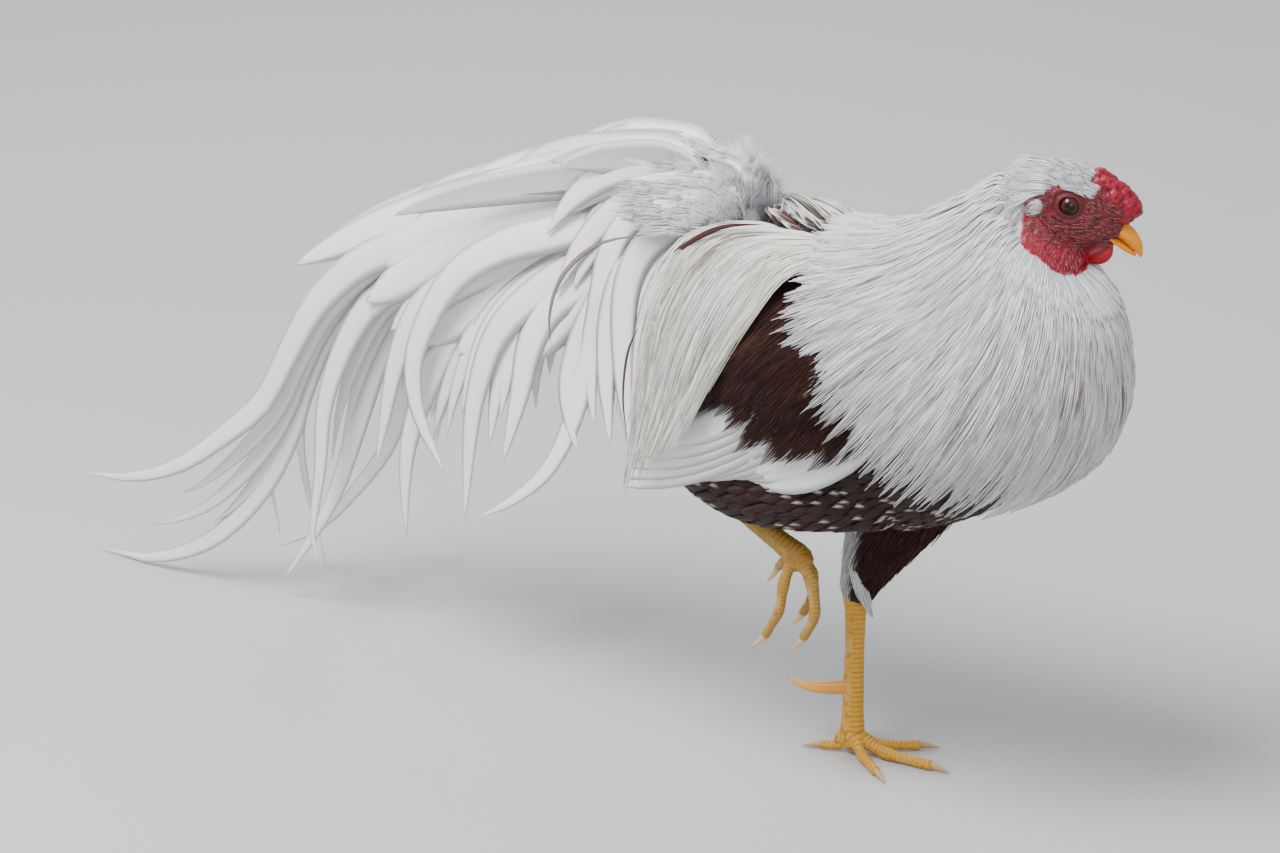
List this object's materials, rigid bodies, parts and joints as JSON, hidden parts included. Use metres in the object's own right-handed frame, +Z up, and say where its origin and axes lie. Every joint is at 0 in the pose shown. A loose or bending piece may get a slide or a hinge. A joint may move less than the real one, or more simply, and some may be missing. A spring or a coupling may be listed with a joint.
{
  "type": "long-tailed cock, walking",
  "caption": "Life-size long-tailed cock in mid step: full hackle, folded wings, long trailing tail, low lumpy comb and one foot lifted.",
  "frame": {"origin": "on the floor, at the middle of the standing (left) foot's sole", "axes": "+X the way the body faces, +Y to the bird's left, +Z up"},
  "size_m": [0.8189, 0.1751, 0.4245],
  "materials": {
    "chestnut": "soft feather, dark chestnut with white spangles",
    "white": "soft feather, white",
    "cream": "long silky feather, creamy white",
    "red_skin": "warty moist skin",
    "yellow_scale": "scaled skin",
    "horn": "polished horn",
    "eye": "wet dark eye"
  },
  "bodies": {
    "root": {"torso": "chestnut", "thigh_left": "chestnut", "thigh_right": "chestnut", "wing_left": "chestnut", "wing_right": "chestnut", "neck": "white", "tail": "white", "ear_left": "white", "ear_right": "white", "saddle_left": "cream", "saddle_right": "cream", "head": "red_skin", "comb": "red_skin", "wattle_left": "red_skin", "wattle_right": "red_skin", "shank_left": "yellow_scale", "shank_right": "yellow_scale", "foot_left": "yellow_scale", "foot_right": "yellow_scale", "beak_upper": "horn", "beak_lower": "horn", "spur_left": "horn", "spur_right": "horn", "claw_left_middle": "horn", "claw_left_inner": "horn", "claw_left_outer": "horn", "claw_left_hind": "horn", "claw_right_middle": "horn", "claw_right_inner": "horn", "claw_right_outer": "horn", "claw_right_hind": "horn", "eye_left": "eye", "eye_right": "eye"}
  },
  "joints": []
}
